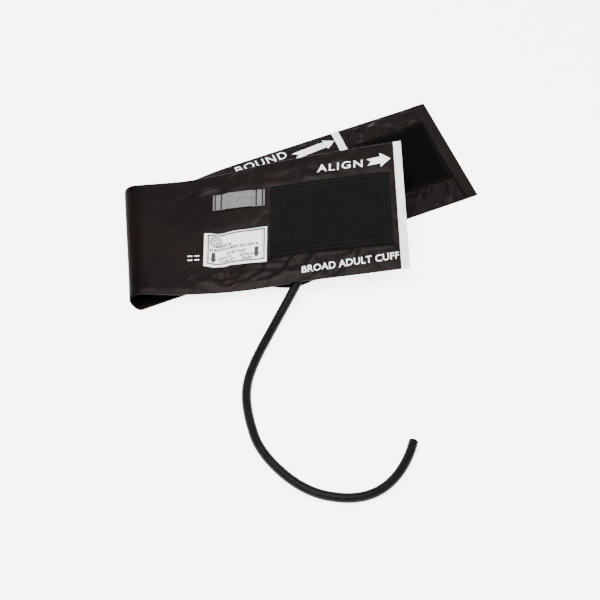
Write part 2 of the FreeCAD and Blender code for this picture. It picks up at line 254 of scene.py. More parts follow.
def mesh_from(name, vertices, faces, uvs=None, shade_smooth=True):
    """A mesh of points in millimetres, with each vertex's place on the cloth as UV."""
    mesh = bpy.data.meshes.new(name)
    mesh.from_pydata([tuple(p) for p in world(vertices)], [], [tuple(map(int, f)) for f in faces])
    if uvs is not None:
        layer = mesh.uv_layers.new(name="cloth")
        corners = np.empty(len(mesh.loops), int)
        mesh.loops.foreach_get("vertex_index", corners)
        layer.data.foreach_set("uv", np.asarray(uvs, float)[corners].ravel())
    mesh.validate()
    work = bmesh.new()
    work.from_mesh(mesh)
    bmesh.ops.remove_doubles(work, verts=work.verts, dist=2e-6)
    bmesh.ops.recalc_face_normals(work, faces=work.faces)
    work.to_mesh(mesh)
    work.free()
    if shade_smooth:
        mesh.shade_smooth()
    return mesh


def grid_faces(rows, columns, wrap=False):
    """Quads between neighbouring rows of points; wrap joins the last column to the first."""
    faces = []
    for i in range(rows - 1):
        here, below = i * columns, (i + 1) * columns
        for j in range(columns if wrap else columns - 1):
            k = (j + 1) % columns
            faces.append((here + j, below + j, below + k, here + k))
    return faces


def tube_faces(rings, sides):
    """Faces of a short tube with both ends closed."""
    faces = [(p, s, r, q) for p, q, r, s in grid_faces(rings, sides, wrap=True)]
    last = (rings - 1) * sides
    return faces + [tuple(range(sides))[::-1], tuple(range(last, last + sides))]


def repeated(faces, times, size):
    """The faces of many like pieces, each with size points of its own."""
    return [tuple(size * k + i for i in face) for k in range(times) for face in faces]


def uv_pairs(u, w):
    """Each point's place on the cloth as UV, in metres."""
    return np.stack([np.ravel(u) / 1000, np.ravel(w) / 1000], axis=-1)


# ---- the strip's shape

def softened_line(places):
    """A height line through (distance, height) pairs, its corners rounded off over about 25 mm."""
    fine = np.arange(-60.0, PANEL_END + 60.0, 1.0)
    line = np.interp(fine, *zip(*places), left=2 * RADIUS)
    (x0, z0), (x1, z1) = places[-2:]
    beyond = fine > x1
    line[beyond] = z1 + (z1 - z0) / (x1 - x0) * (fine[beyond] - x1)
    kernel = bell(np.arange(-40, 41), 0, 13.0)
    kernel /= kernel.sum()
    return fine, np.convolve(np.pad(line, 40, mode="edge"), kernel, mode="valid")


NEAR_LINE = softened_line(NEAR_HEIGHTS)
FAR_LINE = softened_line(FAR_HEIGHTS)


def panel_height(distance, v):
    return (1 - v) * np.interp(distance, *NEAR_LINE) + v * np.interp(distance, *FAR_LINE)


def spine_lean(s, v):
    return SPINE_LEAN * smooth(0.1, 1, v) * (1 - smooth(QUARTER * 0.5, QUARTER + LEAN_FADE, s))


def upper_face(s, v):
    """Outer face of the upper half of the loop and the panel. s is from the middle of the loop."""
    s, v = np.broadcast_arrays(np.asarray(s, float), np.asarray(v, float))
    angle = math.pi - np.clip(s / QUARTER, 0, 1) * math.pi / 2
    distance = PANEL_START + np.maximum(s - QUARTER, 0)
    on_loop = s < QUARTER
    lean = np.interp(distance, *zip(*PANEL_LEAN)) * (v - 0.5)
    x = np.where(on_loop, RADIUS + RADIUS * np.cos(angle), distance + lean) - spine_lean(s, v)
    turned = RADIUS + RADIUS * np.sin(angle)
    loop_rise = panel_height(PANEL_START, v) - 2 * RADIUS
    z = np.where(on_loop, turned + loop_rise * smooth(0, QUARTER, s), panel_height(distance, v))
    spread = FAR_SPREAD * v * smooth(PANEL_START, PANEL_END, distance)
    return np.stack([x, WIDTH * v + spread, z], axis=-1)


def tail_line(across):
    """Where a line along the tail starts, and its length, at a place across the tail's axis."""
    start = across * math.tan(TAIL_TURN)
    return start, TAIL_LENGTH + TAIL_SKEW * (across - TAIL_NEAR) / WIDTH - start


def tail_along_across(s, v):
    across = TAIL_NEAR + WIDTH * v
    start, length = tail_line(across)
    return start + (s - QUARTER) / TAIL_LENGTH * length, across


def tail_sv(along, across):
    """Where a point of the tail, measured along and across its axis, lies on the strip."""
    start, length = tail_line(across)
    return QUARTER + (along - start) / length * TAIL_LENGTH, (across - TAIL_NEAR) / WIDTH


def lower_face(s, v):
    """Outer face, which is the underside, of the lower half of the loop and the tail."""
    s, v = np.broadcast_arrays(np.asarray(s, float), np.asarray(v, float))
    along, across = tail_along_across(np.maximum(s, QUARTER), v)
    x = TAIL_FROM[0] + along * math.cos(TAIL_TURN) - across * math.sin(TAIL_TURN)
    y = TAIL_FROM[1] + along * math.sin(TAIL_TURN) + across * math.cos(TAIL_TURN)
    angle = math.pi + np.clip(s / QUARTER, 0, 1) * math.pi / 2
    on_loop = s < QUARTER
    x = np.where(on_loop, RADIUS + RADIUS * np.cos(angle), x) - spine_lean(s, v)
    y = y - TAIL_DIP * smooth(0.6, 1.0, v) * bell(x, DIP_PLACE, DIP_WIDTH)
    widened = smooth(0, QUARTER, s)
    y = np.where(on_loop, WIDTH * v * (1 - widened) + y * widened, y)
    z = np.where(on_loop, RADIUS + RADIUS * np.sin(angle), 0.0)
    return np.stack([x, y, z], axis=-1)


def outward(face, s, v, side):
    """Unit normals of a face of the strip, pointing out of the cuff."""
    ds, dv = 1.5, 0.01
    along = face(s + ds, v) - face(s - ds, v)
    across = face(s, v + dv) - face(s, v - dv)
    normal = np.cross(along, across) * side
    return normal / np.linalg.norm(normal, axis=-1, keepdims=True)


UPPER, LOWER = 1.0, -1.0
STRIP_FACE = {UPPER: upper_face, LOWER: lower_face}


def on_strip(side, s, v, lift):
    """Points lifted off the strip's outer face, along its normal."""
    face = STRIP_FACE[side]
    s, v = np.broadcast_arrays(np.asarray(s, float), np.asarray(v, float))
    return face(s, v) + outward(face, s, v, side) * np.asarray(lift)[..., None]


def panel_s(distance):
    return np.asarray(distance, float) - PANEL_START + QUARTER


STRIP_END = {UPPER: panel_s(PANEL_END), LOWER: QUARTER + TAIL_LENGTH}


# ---- what is sewn to the cloth, and where

def inside(x, y, box, margin):
    """1 well inside a rectangle, 0 outside it."""
    return (
        smooth(box[0] - margin, box[0] + margin, x)
        * (1 - smooth(box[1] - margin, box[1] + margin, x))
        * smooth(box[2] - margin, box[2] + margin, y)
        * (1 - smooth(box[3] - margin, box[3] + margin, y))
    )


def from_ends(low, high, x):
    """Distance from the nearer of two ends."""
    return np.minimum(x - low, high - x)


def from_edge(box, a, b):
    """Distance from the nearest edge of a rectangle, positive inside it."""
    return np.minimum(from_ends(box[0], box[1], a), from_ends(box[2], box[3], b))


def drift(box, a):
    """How far the lines of a rectangle have drifted across the cloth at a distance along it."""
    along = np.asarray(a, float) - box[0]
    sag = LABEL_SAG * bell(along, SAG_PLACE, SAG_WIDTH) if box == LABEL else 0.0
    return TILT.get(box, 0.0) * along - sag


def placed(box, a, b):
    """Where a point of a sewn rectangle lies on the cloth."""
    if box == HOOK_PATCH:
        skew = HOOK_SKEW * (b - box[2]) / (box[3] - box[2])
        return a + skew * (a - box[0]) / (box[1] - box[0]), b
    return a, b + drift(box, a)


def sewn_share(distance, y, loop_margin, label_margin):
    """1 under the loop patch and the label, 0 beside them."""
    return np.maximum(*(
        inside(distance, y - drift(box, distance), box, margin)
        for box, margin in ((LOOP_PATCH, loop_margin), (LABEL, label_margin))
    ))


# ---- cloth

def relaxed_cloth(name, length, held, grow, lift, seed):
    """Simulates a sewn-down layer of cloth that is slightly too big for its seams.

    held(x, y) is 1 where the cloth is sewn down. The cloth is worked at ten times its
    size, and comes back as a function that gives its height in millimetres."""
    step = 3.0
    columns, rows = int(length / step) + 1, int(WIDTH / step) + 1
    x, y = grid(np.linspace(0, length, columns), np.linspace(0, WIDTH, rows))
    start = 0.5 * value_noise(x, y, 14.0, seed) + 0.25 * value_noise(x, y, 7.0, seed + 1)
    points = np.stack([x.ravel() / 100, y.ravel() / 100, start.ravel() / 100], axis=-1)
    mesh = bpy.data.meshes.new(name)
    mesh.from_pydata(points.tolist(), [], grid_faces(columns, rows))
    item = add_object(name, mesh)
    group = item.vertex_groups.new(name="sewn")
    for index, weight in enumerate(held(x, y).ravel()):
        if weight > 0.01:
            group.add([index], float(min(weight, 1.0)), "REPLACE")
    cloth = item.modifiers.new("cloth", "CLOTH")
    settings = cloth.settings
    settings.quality = 6
    settings.mass = 0.12
    settings.air_damping = 4.0
    settings.tension_stiffness = settings.compression_stiffness = 14.0
    settings.shear_stiffness = 6.0
    settings.bending_stiffness = 0.9
    settings.vertex_group_mass = "sewn"
    settings.shrink_min = -grow
    settings.effector_weights.gravity = -lift
    cloth.collision_settings.use_collision = False
    frames = 22
    cloth.point_cache.frame_start, cloth.point_cache.frame_end = 1, frames
    scene = bpy.context.scene
    for frame_number in range(1, frames + 1):
        scene.frame_set(frame_number)
    evaluated = item.evaluated_get(bpy.context.evaluated_depsgraph_get())
    result = np.empty(len(mesh.vertices) * 3)
    evaluated.data.vertices.foreach_get("co", result)
    height = result.reshape(columns, rows, 3)[:, :, 2] * 100
    scene.frame_set(1)
    bpy.data.objects.remove(item)
    bpy.data.meshes.remove(mesh)

    def at(px, py):
        gx = np.clip(np.asarray(px) / length * (columns - 1), 0, columns - 1.001)
        gy = np.clip(np.asarray(py) / WIDTH * (rows - 1), 0, rows - 1.001)
        return between(height, gx, gy)

    return at


def panel_held(x, y):
    edge = from_ends(0, WIDTH, y) < 2.5
    ends = (x < 8) | (x > PANEL_END - 12)
    return np.maximum(sewn_share(x, y, 2, 2), np.maximum(edge, ends))


def tail_held(x, y):
    edge = from_ends(0, WIDTH, y) < 2.5
    ends = (x < 30) | (x > TAIL_LENGTH - HEM - 2)
    return np.maximum(inside(x, y + TAIL_NEAR, HOOK_PATCH, 2), np.maximum(edge, ends))


panel_cloth = relaxed_cloth("panel cloth", PANEL_END, panel_held, 0.012, 0.25, 11)
tail_cloth = relaxed_cloth("tail cloth", TAIL_LENGTH + TAIL_SKEW, tail_held, 0.012, 0.15, 12)


def pouch_fill(distance, y):
    """1 over the middle of the bladder, 0 at the seams and past its ends."""
    start, end = BLADDER
    ends = smooth(start - 14, start + 14, distance) * (1 - smooth(end - 14, end + 10, distance))
    return ends * (1 - np.abs(2 * y / WIDTH - 1) ** 3)


def mouth(distance):
    """1 at the middle of the hose's opening, 0 beside it."""
    place = np.clip((np.asarray(distance) - MOUTH[0]) / MOUTH[1], -1, 1)
    return np.cos(math.pi / 2 * place) ** 2


def free_of_seams(y):
    """0 at the long edges, 1 from 6 mm in."""
    return np.clip(from_ends(0, WIDTH, y) / 6.0, 0, 1)


def panel_outer(distance, y):
    """How far the panel's outer cloth stands off its even shape."""
    free = free_of_seams(y) * (1 - 0.85 * sewn_share(distance, y, 4, 3))
    cloth = np.clip(panel_cloth(np.maximum(distance, 0), y), -1.6, 2.0)
    waves = creased(distance, y, PANEL_CREASES, 0.35 * value_noise(distance, y, 42.0, 31))
    beside_patch = smooth(150, 160, distance) * (1 - smooth(284, 292, distance))
    patch_y = y - drift(LOOP_PATCH, distance)
    ridge = 1.3 * bell(patch_y, LOOP_PATCH[2] - 2.4, 1.0) * beside_patch
    arch = 1.1 * mouth(distance) * bell(y, 0, 14.0)
    loose = smooth(-10, 25, distance) * (free * (0.55 * cloth + waves) + ridge)
    return loose + 0.5 * pouch_fill(distance, y) + arch


def panel_inner(distance, y):
    """The same for its inner cloth."""
    waves = creased(distance, y, LINING_CREASES, 0.5 * value_noise(distance, y, 24.0, 51))
    depth = BLADDER_SWELL * pouch_fill(distance, y)
    opening = MOUTH_DEPTH * mouth(distance) * (1 - smooth(6, 30, y))
    return -CLOTH - np.maximum(depth, opening) + free_of_seams(y) * smooth(5, 40, distance) * waves


def tail_upper(along, across):
    """How far the tail's upper cloth stands off its even shape."""
    y = across - TAIL_NEAR
    cloth = np.clip(tail_cloth(np.maximum(along, 0), y), -0.9, 2.2)
    swell = 0.5 * np.abs(value_noise(along, across, 30.0, 61))
    waves = creased(along, across, TAIL_CREASES, swell)
    from_hem = along - (TAIL_SKEW - HEM_SPREAD) * y / WIDTH - TAIL_LENGTH + HEM
    flat_hem = 1 - smooth(-5, 0, from_hem)
    hem_step = 0.85 * smooth(-0.5, 0.5, from_hem) - 1.0 * bell(from_hem, -0.9, 0.8)
    sewn = inside(along, across, HOOK_PATCH, 3)
    free = free_of_seams(y) * (1 - 0.9 * sewn) * (flat_hem * 0.9 + 0.1)
    return smooth(10, 60, along) * np.maximum(free * (0.6 * cloth + waves), -0.7) + hem_step


def strip_lifts(side, s, v):
    """The outer and inner faces' distances from the even outer face of the strip."""
    if side == UPPER:
        distance, y = s - QUARTER + PANEL_START, WIDTH * v
        return panel_outer(distance, y), panel_inner(distance, y)
    loop = smooth(QUARTER, QUARTER + 45, s)
    return np.zeros(np.shape(s)), -CLOTH - loop * tail_upper(*tail_along_across(s, v))


def rounding(distance, radius):
    """0 at an edge, and 1 from a radius in, along a quarter circle."""
    return np.sqrt(1 - (1 - np.clip(distance / radius, 0, 1)) ** 2)


def sleeve(side, s_rows, y_columns):
    """Rings of points round both layers of the strip, one ring for each value of s_rows.

    The ring's last four points are the lips and the inside of the opening for the hose."""
    s, v = grid(s_rows, y_columns / WIDTH)
    outer, inner = strip_lifts(side, s, v)
    middle = -CLOTH / 2
    if side == UPPER:
        open_share = smooth(0, 0.45, mouth(s - QUARTER + PANEL_START))
    else:
        open_share = 0 * s
    edge = rounding(from_ends(0, WIDTH, y_columns), EDGE_ROUND)[None, :]
    edge = edge + (1 - edge) * open_share * smooth(60, 30, y_columns)[None, :]
    end = rounding(STRIP_END[side] - s_rows, END_ROUND)[:, None]
    outer = middle + (outer - middle) * edge * end
    inner = middle + (inner - middle) * edge * end
    top = on_strip(side, s, v, outer)
    bottom = on_strip(side, s, v, inner)[:, ::-1]
    share = open_share[:, 0]
    lips = []
    for lift, wall, depth in (
        (inner, 0.9, 0.0), (inner, 1.1, 11.0), (outer, -1.1, 11.0), (outer, -0.9, 0.0)
    ):
        at = middle + (lift[:, 0] + wall - middle) * share
        lips.append(on_strip(side, s_rows, depth * share / WIDTH, at)[:, None])
    return np.concatenate([top, bottom, *lips], axis=1), s, v


def fine_edges(length, step, fine=FINE):
    """Values from 0 to length, closer together near both ends."""
    count = max(2, int(round((length - 2 * fine[-1]) / step)) + 1)
    middle = np.linspace(fine[-1], length - fine[-1], count)
    return np.concatenate([fine[:-1], middle, length - np.array(fine[:-1])[::-1]])


def box_grid(box, step_a, step_b, fine_a=FINE, fine_b=FINE):
    return grid(box[0] + fine_edges(box[1] - box[0], step_a, fine_a),
                box[2] + fine_edges(box[3] - box[2], step_b, fine_b))


def start_cap(columns, ring):
    """Faces that close the first ring, from its top row of points to its bottom row."""
    return [(j, j + 1, ring - 2 - j, ring - 1 - j) for j in range(columns - 1)]


def strip_piece(name, side, s_rows, material):
    columns = fine_edges(WIDTH, COLUMN)
    rings, s, v = sleeve(side, s_rows, columns)
    u, w = s, WIDTH * v
    if side == LOWER:
        along, across = tail_along_across(s, v)
        loop = smooth(0, QUARTER, s)
        u, w = np.where(s < QUARTER, s, along + QUARTER), across * loop + w * (1 - loop)
    uvs = uv_pairs(
        np.concatenate([u, u[:, ::-1], np.repeat(u[:, :1], 4, axis=1)], axis=1),
        np.concatenate([w, w[:, ::-1] + 2 * WIDTH, np.repeat(w[:, :1], 4, axis=1)], axis=1),
    )
    faces = grid_faces(*rings.shape[:2], wrap=True) + start_cap(len(columns), 2 * len(columns))
    mesh = mesh_from(name, rings.reshape(-1, 3), faces, uvs)
    return new_object(name, mesh, material=material)


def closed_sheet(name, top, bottom, faces, uvs=None, shade_smooth=True):
    """A thin piece between two sets of points that share the same faces, walled round its edge."""
    count = len(top)
    edges = {}
    for face in faces:
        for a, b in zip(face, face[1:] + face[:1]):
            edges[(a, b)] = edges.get((a, b), 0) + 1
    walls = [(b, a, a + count, b + count) for (a, b) in edges if (b, a) not in edges]
    under = [tuple(i + count for i in face[::-1]) for face in faces]
    both = None if uvs is None else np.concatenate([uvs, uvs])
    faces = list(faces) + under + walls
    return mesh_from(name, np.concatenate([top, bottom]), faces, both, shade_smooth)


def sheet_piece(name, top, under, body, material, uvs=None):
    """A closed thin piece between two grids of points."""
    faces = grid_faces(*top.shape[:2])
    mesh = closed_sheet(name, top.reshape(-1, 3), under.reshape(-1, 3), faces, uvs)
    return new_object(name, mesh, body, material)


def surface(side, first, second, lift=0.0):
    """Points on the actual cloth: distance and y on the panel's top, or along and across on
    the tail's."""
    first, second = np.broadcast_arrays(np.asarray(first, float), np.asarray(second, float))
    if side == UPPER:
        s, v = panel_s(first), second / WIDTH
        outer, _ = strip_lifts(side, s, v)
        return on_strip(side, s, v, outer + lift)
    s, v = tail_sv(first, second)
    _, inner = strip_lifts(side, s, v)
    return on_strip(side, s, v, inner - lift)


def patch_piece(name, side, box, step, height, material, body, round_edge):
    """A flat patch sewn on the cloth. height(a, b) is how far its face stands off the cloth."""
    inset = (0.0, 0.15, 0.4, 0.9)
    a, b = box_grid(box, step, step, inset, inset)
    edge = rounding(from_edge(box, a, b), round_edge)
    top = surface(side, *placed(box, a, b), height(a, b) * edge)
    under = surface(side, *placed(box, a, b), -0.35)
    return sheet_piece(name, top, under, body, material, uv_pairs(a, b))


# ---- materials

# The value of a socket is a constant, or a function that adds nodes to the material's tree
# and returns the output that drives the socket. Each adds its nodes only once to a tree.

def fill(tree, socket, value):
    if callable(value):
        tree.links.new(value(tree), socket)
    else:
        socket.default_value = value


def plug(tree, item, sockets):
    for name, value in sockets.items():
        fill(tree, item.inputs[name.replace("_", " ")], value)


def node(kind, output=0, **sockets):
    @cache
    def add(tree):
        item = tree.nodes.new("ShaderNode" + kind)
        plug(tree, item, sockets)
        return item.outputs[output]
    return add


def maths(operation, *values):
    @cache
    def add(tree):
        item = tree.nodes.new("ShaderNodeMath")
        item.operation = operation
        for socket, value in zip(item.inputs, values):
            fill(tree, socket, value)
        return item.outputs[0]
    return add


def times(a, b):
    return maths("MULTIPLY", a, b)


def plus(a, b):
    return maths("ADD", a, b)


def ramp(value, low, low_colour, high, high_colour):
    @cache
    def add(tree):
        item = tree.nodes.new("ShaderNodeValToRGB")
        stops = ((low, low_colour), (high, high_colour))
        for element, (place, colour) in zip(item.color_ramp.elements, stops):
            element.position = place
            element.color = (*colour, 1)
        fill(tree, item.inputs["Fac"], value)
        return item.outputs["Color"]
    return add


def multiplied(colour, value, share):
    @cache
    def add(tree):
        item = tree.nodes.new("ShaderNodeMixRGB")
        item.blend_type = "MULTIPLY"
        plug(tree, item, {"Fac": share, "Color1": colour, "Color2": value})
        return item.outputs[0]
    return add


def bump(height, strength, distance):
    return node("Bump", "Normal", Strength=strength, Distance=distance, Height=height)


def noise(vector, scale, detail=3.0):
    return node("TexNoise", "Fac", Vector=vector, Scale=scale, Detail=detail)


UV = node("TexCoord", "UV")
OBJECT = node("TexCoord", "Object")


def weave(pitch, pitch_across=None):
    """Plain weave: threads one way and the other take turns on top."""
    su, sv = (
        maths("SINE", times(node("SeparateXYZ", axis, Vector=UV), math.pi / length))
        for axis, length in enumerate((pitch, pitch_across or pitch))
    )
    on_top = maths("GREATER_THAN", times(su, sv), 0.0)
    return plus(times(maths("ABSOLUTE", su), on_top),
                times(maths("ABSOLUTE", sv), maths("SUBTRACT", 1.0, on_top)))


def material(name, colour, roughness, specular=0.5, **sockets):
    item = bpy.data.materials.new(name)
    item.use_nodes = True
    shader = item.node_tree.nodes["Principled BSDF"]
    plug(item.node_tree, shader, {
        "Base Color": (*colour, 1), "Roughness": roughness, "Specular IOR Level": specular})
    plug(item.node_tree, shader, sockets)
    return item


def grained(name, colour, roughness, specular, scale, detail, low, spread, strength):
    """One even colour with a fine grain in the roughness and the surface."""
    grain = noise(OBJECT, scale, detail)
    return material(name, colour, roughness, specular, Roughness=plus(low, times(grain, spread)),
                    Normal=bump(grain, strength, 0.0002))


def rubber(name, colour, roughness, specular, bloom):
    """Black rubber with a dusty bloom."""
    dust = noise(OBJECT, 130.0, 6.0)
    return material(name, colour, roughness, specular,
                    Base_Color=ramp(dust, 0.35, (0.0022, 0.0022, 0.0021), 0.75, bloom),
                    Roughness=plus(0.36, times(dust, 0.25)),
                    Normal=bump(noise(OBJECT, 700.0), 0.08, 0.0002))


def thread(name, colour, roughness, specular=0.5):
    twist = node("TexWave", "Fac", Scale=1500.0, Distortion=1.5, Vector=OBJECT)
    return material(name, colour, roughness, specular, Normal=bump(twist, 0.5, 0.0002))


patches = noise(UV, 14.0, 4.0)
crumple = plus(times(weave(0.00045), 0.10), times(noise(UV, 90.0, 4.0), 0.9))
# dull where the cloth turns round the fold, within 12 to 30 mm of its middle
dull_fold = node("MapRange", Value=node("SeparateXYZ", 0, Vector=UV), From_Min=0.012,
                 From_Max=0.03, To_Min=0.015, To_Max=0.10)
NYLON = material(
    "black nylon", (0.006, 0.005, 0.005), 0.46, 0.10, Specular_Tint=(1.0, 0.88, 0.85, 1.0),
    Base_Color=ramp(patches, 0.35, (0.0020, 0.0013, 0.0013), 0.68, (0.0055, 0.0028, 0.0025)),
    Roughness=plus(0.40, times(patches, 0.16)), Normal=bump(crumple, 0.35, 0.0006),
    Specular_IOR_Level=dull_fold,
)
worn = noise(UV, 60.0, 4.0)
LOOP_PILE = material(
    "loop pile", (0.004, 0.004, 0.004), 0.95, 0.05, Sheen_Weight=0.04, Sheen_Roughness=0.6,
    Base_Color=ramp(worn, 0.3, (0.0018, 0.0018, 0.0020), 0.7, (0.0034, 0.0034, 0.0035)),
    Normal=bump(noise(UV, 900.0, 5.0), 0.6, 0.0006),
)
webbing_weave = weave(0.0011, 0.0007)
# the webbing's grey is darker in the hollows between the threads and lighter on their crowns:
# painted shade in the weave
webbing_grey_painted_hollow_shade = ramp(webbing_weave, 0.1, (0.13, 0.124, 0.12), 0.75, (0.295, 0.283, 0.276))
WEBBING = material(
    "grey webbing", (0.32, 0.31, 0.3), 0.6, 0.3, Normal=bump(webbing_weave, 0.8, 0.0004),
    Base_Color=multiplied(webbing_grey_painted_hollow_shade, noise(UV, 260.0, 4.0), 0.7),
)
LABEL_CLOTH = material(
    "white label cloth", (0.82, 0.8, 0.79), 0.55, 0.3, Normal=bump(weave(0.0003), 0.25, 0.0002),
    Base_Color=ramp(noise(UV, 40.0), 0.3, (0.88, 0.85, 0.85), 0.7, (0.95, 0.935, 0.935)),
)
WHITE_TAPE = material(
    "white tape", (0.86, 0.86, 0.86), 0.5, 0.3, Normal=bump(weave(0.0006, 0.0009), 0.35, 0.0003),
    Base_Color=ramp(noise(UV, 70.0, 5.0), 0.25, (0.88, 0.88, 0.88), 0.6, (0.96, 0.96, 0.96)),
)
HOOK_PILE = grained("hook tape", (0.0015, 0.0015, 0.0016), 0.7, 0.04, 1500.0, 3.0, 0.55, 0.3, 0.3)
WHITE_PRINT = grained("white print", (0.95, 0.95, 0.95), 0.5, 0.5, 900.0, 4.0, 0.35, 0.3, 0.2)
GREY_PRINT = grained("grey print", (0.009, 0.009, 0.009), 0.6, 0.5, 900.0, 4.0, 0.35, 0.3, 0.2)
THREAD = thread("black thread", (0.004, 0.004, 0.004), 0.55, 0.3)
WHITE_THREAD = thread("pale thread", (0.7, 0.69, 0.68), 0.5)
RUBBER = rubber("hose rubber", (0.003, 0.003, 0.003), 0.5, 0.07, (0.0055, 0.0052, 0.0050))
BLADDER_RUBBER = rubber("bladder rubber", (0.002, 0.002, 0.002), 0.65, 0.06, (0.002, 0.002, 0.002))
FLOOR = material("white sweep", (0.9, 0.9, 0.9), 0.9, 0.0,
                 Emission_Color=(1, 1, 1, 1), Emission_Strength=4.5)


# ---- hose

def mesh_of_curve(name, curve):
    """The points and faces of a curve or a text, and nothing left behind in the scene."""
    item = add_object(name, curve)
    evaluated = item.evaluated_get(bpy.context.evaluated_depsgraph_get())
    mesh = bpy.data.meshes.new_from_object(evaluated)
    bpy.data.objects.remove(item)
    points = np.array([v.co for v in mesh.vertices])
    faces = [tuple(p.vertices) for p in mesh.polygons]
    bpy.data.meshes.remove(mesh)
    return points, faces


def hose_line():
    """The hose's centreline: a smooth spline through the lie of the hose on the table."""
    curve = bpy.data.curves.new("hose line", "CURVE")
    curve.dimensions = "3D"
    spline = curve.splines.new("NURBS")
    spline.points.add(len(HOSE_ROUTE) - 1)
    for point, place in zip(spline.points, world(HOSE_ROUTE)):
        point.co = (*place, 1)
    spline.order_u = 3
    spline.use_endpoint_u = True
    curve.resolution_u = 16
    points, _ = mesh_of_curve("hose line", curve)
    line = (points - CORNER) * 1000
    keep = np.concatenate([[True], np.linalg.norm(np.diff(line, axis=0), axis=1) > 0.01])
    return line[keep]


def tube_points(line, radius, sides=28):
    """Rings of points round a line, turned so that they never twist."""
    tangents = np.gradient(line, axis=0)
    tangents /= np.linalg.norm(tangents, axis=1, keepdims=True)
    side = np.cross(tangents, [0, 0, 1.0])
    side /= np.linalg.norm(side, axis=1, keepdims=True)
    up = np.cross(side, tangents)
    angle = np.linspace(0, 2 * math.pi, sides, endpoint=False)[None, :, None]
    return line[:, None] + radius * (np.cos(angle) * side[:, None] + np.sin(angle) * up[:, None])


def make_hose():
    """A tube with a rounded rim and an open bore at its free end."""
    line = hose_line()
    radius, bore = HOSE_DIAMETER / 2, HOSE_BORE / 2
    inward = line[-2] - line[-1]
    inward /= np.linalg.norm(inward)
    outside = tube_points(line, radius)
    ring = (outside[-1] - line[-1]) / radius
    rings = [np.repeat(line[:1], len(ring), axis=0), *outside[:-1]]
    for turn in np.linspace(math.radians(15), math.radians(165), 7):
        rim = (radius + bore) / 2 + (radius - bore) / 2 * math.cos(turn)
        rings.append(line[-1] + inward * 0.5 * (1 - math.sin(turn)) + rim * ring)
    for depth, inner in ((1.5, bore), (6.0, bore), (14.0, bore), (26.0, bore), (26.5, 0.0)):
        rings.append(line[-1] + inward * depth + inner * ring)
    faces = grid_faces(len(rings), len(ring), wrap=True)
    mesh = mesh_from("air_hose_tube", np.reshape(rings, (-1, 3)), faces)
    hose = new_object("air_hose_tube", mesh, "panel", RUBBER)
    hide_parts("air_hose", "air_hose_end")


make_hose()


# ---- panel, tail and bladder

def spine_rows(end, step):
    """Rows from the middle of the loop, fine round the loop and at the closed end."""
    body_end = end - FINE[-1]
    body = np.linspace(QUARTER, body_end, int((body_end - QUARTER) / step) + 1)
    return np.concatenate([np.arange(0, QUARTER, 0.8), body, end - CLOSING])


def tail_spine_rows():
    """The same, with close rows at the step of the hem."""
    rows = spine_rows(STRIP_END[LOWER], GRID * 1.1)
    step = STRIP_END[LOWER] - HEM
    low, high = step - HEM_RUN[0], step + HEM_RUN[1]
    close = np.arange(low, high, HEM_ROW)
    return np.concatenate([rows[rows < low - 0.3], close, rows[rows > high + 0.3]])


panel = strip_piece("panel_pouch", UPPER, spine_rows(STRIP_END[UPPER], GRID), NYLON)
tail = strip_piece("tail_strip", LOWER, tail_spine_rows(), NYLON)
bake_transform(panel)
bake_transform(tail)
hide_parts("panel_outer_fabric", "panel_lining", "panel_near_seam", "panel_far_seam")
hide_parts("tail_outer_fabric", "tail_lining", "tail_hem", "fold_outer_fabric", "fold_lining")


def make_bladder():
    """The flat rubber bladder, a little thinner than the space between the cloths."""
    box = (*BLADDER, BLADDER_MARGIN, WIDTH - BLADDER_MARGIN)
    distance, y = box_grid(box, 6.0, 6.0)
    s, v = panel_s(distance), y / WIDTH
    outer, inner = strip_lifts(UPPER, s, v)
    middle = (outer + inner) / 2
    half = np.maximum((outer - inner) / 2 - 0.9, 0.25) * rounding(from_edge(box, distance, y), 3.0)
    top, under = on_strip(UPPER, s, v, middle + half), on_strip(UPPER, s, v, middle - half)
    item = sheet_piece("bladder", top, under, "panel", BLADDER_RUBBER)
    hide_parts("bladder_upper_sheet", "bladder_lower_sheet", "bladder_port")


make_bladder()


def make_neck():
    """The bladder's rubber neck, flat and wide in the opening of the near edge."""
    count = 72
    angle = np.linspace(0, 2 * math.pi, count, endpoint=False)
    across, upward = (np.sign(c) * np.abs(c) ** 0.8 for c in (np.cos(angle), np.sin(angle)))
    rings = []
    for y, scale in (
        (20, 0.0), (20, 0.9), (14, 0.95), (8, 0.97), (4.5, 0.96), (3.2, 0.92), (2.6, 0.82),
        (2.4, 0.6), (2.4, 0.0),
    ):
        distance = MOUTH[0] + NECK_HALF_WIDTH * scale * across
        top = panel_outer(distance, np.zeros(count))
        under = -CLOTH - MOUTH_DEPTH * mouth(distance)
        half = np.maximum((top - under) / 2 - 1.5, 0.3) * min(1, scale * 1.1)
        lift = (top + under) / 2 + half * upward
        rings.append(on_strip(UPPER, panel_s(distance), y / WIDTH, lift))
    faces = grid_faces(len(rings), count, wrap=True)
    mesh = mesh_from("bladder_neck_cap", np.reshape(rings, (-1, 3)), faces)
    item = new_object("bladder_neck_cap", mesh, "panel", BLADDER_RUBBER)
    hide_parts("bladder_neck")


make_neck()


# ---- patches and tapes

def loop_height(a, b):
    """Brushed pile, pressed down along its two seams."""
    border = from_edge(LOOP_PATCH, a, b)
    seam, second_seam = bell(border, LOOP_SEAMS[0], 0.9), bell(border, LOOP_SEAMS[1], 0.8)
    base, pile = 0.7, 1.5 + 0.16 * np.sin(2 * math.pi * a / 5.2 + 0.8 * value_noise(a, b, 30, 72))
    fuzz = (
        0.26 * value_noise(a, b, 0.95, 73) + 0.2 * value_noise(a, b, 2.1, 74)
        + 0.15 * value_noise(a, b, 12.0, 75)
    )
    return base + (1 - seam) * (1 - 0.75 * second_seam) * (pile - base + fuzz)


def hook_height(a, b):
    return 0.75 - 0.35 * bell(from_edge(HOOK_PATCH, a, b), HOOK_SEAM, 0.8)


